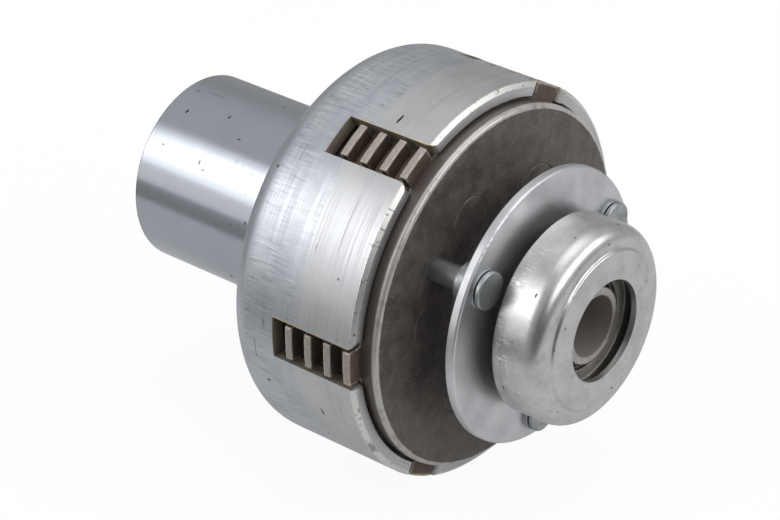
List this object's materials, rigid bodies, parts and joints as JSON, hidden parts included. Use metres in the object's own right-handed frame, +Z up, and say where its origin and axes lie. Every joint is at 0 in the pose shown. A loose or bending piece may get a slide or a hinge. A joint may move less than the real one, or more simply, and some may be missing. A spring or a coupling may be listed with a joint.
{
  "type": "multi-disc clutch",
  "caption": "Spring-loaded multi-disc clutch: slotted drum on a drive tube, lugged friction discs, driven hub, release plate on pins and a pressed-cup thrust bearing.",
  "frame": {"origin": "centre of the engine bore's mouth, on the rear face of the drive tube", "axes": "+X along the clutch axis from the engine side to the release bearing, +Z up"},
  "size_m": [0.1285, 0.1, 0.1],
  "materials": {
    "machined_steel": "turned and ground, bright",
    "pressed_steel": "satin pressed sheet",
    "zinc_steel": "satin zinc plate",
    "dark_steel": "dark hardened, lightly polished at the rim",
    "plain_steel": "ground",
    "hub_steel": "machined",
    "spring_steel": "oiled spring steel",
    "bearing_steel": "polished",
    "sinter": "grainy sintered friction metal",
    "bronze": "turned bearing bronze"
  },
  "bodies": {
    "drum": {"clutch_drum": "machined_steel", "pilot_bush": "bronze"},
    "hub": {"driven_hub": "hub_steel", "front_plate": "dark_steel", "hub_rivets": "dark_steel", "backing_ring": "hub_steel", "retaining_ring": "spring_steel", "disc_spring_1": "spring_steel", "disc_spring_2": "spring_steel"},
    "release": {"pressure_plate": "hub_steel", "release_pins": "zinc_steel", "pin_washers": "zinc_steel", "release_plate": "zinc_steel", "bearing_sleeve": "zinc_steel", "inner_race": "bearing_steel"},
    "cage": {"ball_cage": "bronze", "bearing_balls": "bearing_steel"},
    "cup": {"bearing_cup": "pressed_steel", "outer_race": "bearing_steel", "front_shield": "spring_steel", "rear_shield": "spring_steel"},
    "friction_disc_1": {"friction_disc_1": "sinter"},
    "friction_disc_2": {"friction_disc_2": "sinter"},
    "friction_disc_3": {"friction_disc_3": "sinter"},
    "friction_disc_4": {"friction_disc_4": "sinter"},
    "steel_plate_1": {"steel_plate_1": "plain_steel"},
    "steel_plate_2": {"steel_plate_2": "plain_steel"},
    "steel_plate_3": {"steel_plate_3": "plain_steel"}
  },
  "joints": [
    {"name": "hub_spin", "type": "hinge", "parent": "drum", "child": "hub", "pos_m": [0.06, 0, 0], "axis": [1, 0, 0], "continuous": true},
    {"name": "release_slide", "type": "slide", "parent": "hub", "child": "release", "axis": [1, 0, 0], "range_m": [-0.0016, 0], "stiffness_N_per_m": 20000, "springref_m": 0.002, "deforming": ["disc_spring_1", "disc_spring_2"]},
    {"name": "cup_spin", "type": "hinge", "parent": "release", "child": "cup", "pos_m": [0.11837, 0, 0], "axis": [1, 0, 0], "continuous": true},
    {"name": "cage_spin", "type": "hinge", "parent": "release", "child": "cage", "pos_m": [0.11837, 0, 0], "axis": [1, 0, 0], "continuous": true},
    {"name": "friction_disc_1_slide", "type": "slide", "parent": "drum", "child": "friction_disc_1", "axis": [1, 0, 0], "range_m": [-0.0014, 0]},
    {"name": "friction_disc_2_slide", "type": "slide", "parent": "drum", "child": "friction_disc_2", "axis": [1, 0, 0], "range_m": [-0.001, 0]},
    {"name": "friction_disc_3_slide", "type": "slide", "parent": "drum", "child": "friction_disc_3", "axis": [1, 0, 0], "range_m": [-0.0006, 0]},
    {"name": "friction_disc_4_slide", "type": "slide", "parent": "drum", "child": "friction_disc_4", "axis": [1, 0, 0], "range_m": [-0.0002, 0]},
    {"name": "steel_plate_1_slide", "type": "slide", "parent": "hub", "child": "steel_plate_1", "axis": [1, 0, 0], "range_m": [-0.0012, 0]},
    {"name": "steel_plate_2_slide", "type": "slide", "parent": "hub", "child": "steel_plate_2", "axis": [1, 0, 0], "range_m": [-0.0008, 0]},
    {"name": "steel_plate_3_slide", "type": "slide", "parent": "hub", "child": "steel_plate_3", "axis": [1, 0, 0], "range_m": [-0.0004, 0]}
  ],
  "couplings": [
    {"joint": "cage_spin", "follows": "cup_spin", "ratio": 0.6032},
    {"joint": "friction_disc_1_slide", "follows": "release_slide", "ratio": 0.875},
    {"joint": "friction_disc_2_slide", "follows": "release_slide", "ratio": 0.625},
    {"joint": "friction_disc_3_slide", "follows": "release_slide", "ratio": 0.375},
    {"joint": "friction_disc_4_slide", "follows": "release_slide", "ratio": 0.125},
    {"joint": "steel_plate_1_slide", "follows": "release_slide", "ratio": 0.75},
    {"joint": "steel_plate_2_slide", "follows": "release_slide", "ratio": 0.5},
    {"joint": "steel_plate_3_slide", "follows": "release_slide", "ratio": 0.25}
  ]
}
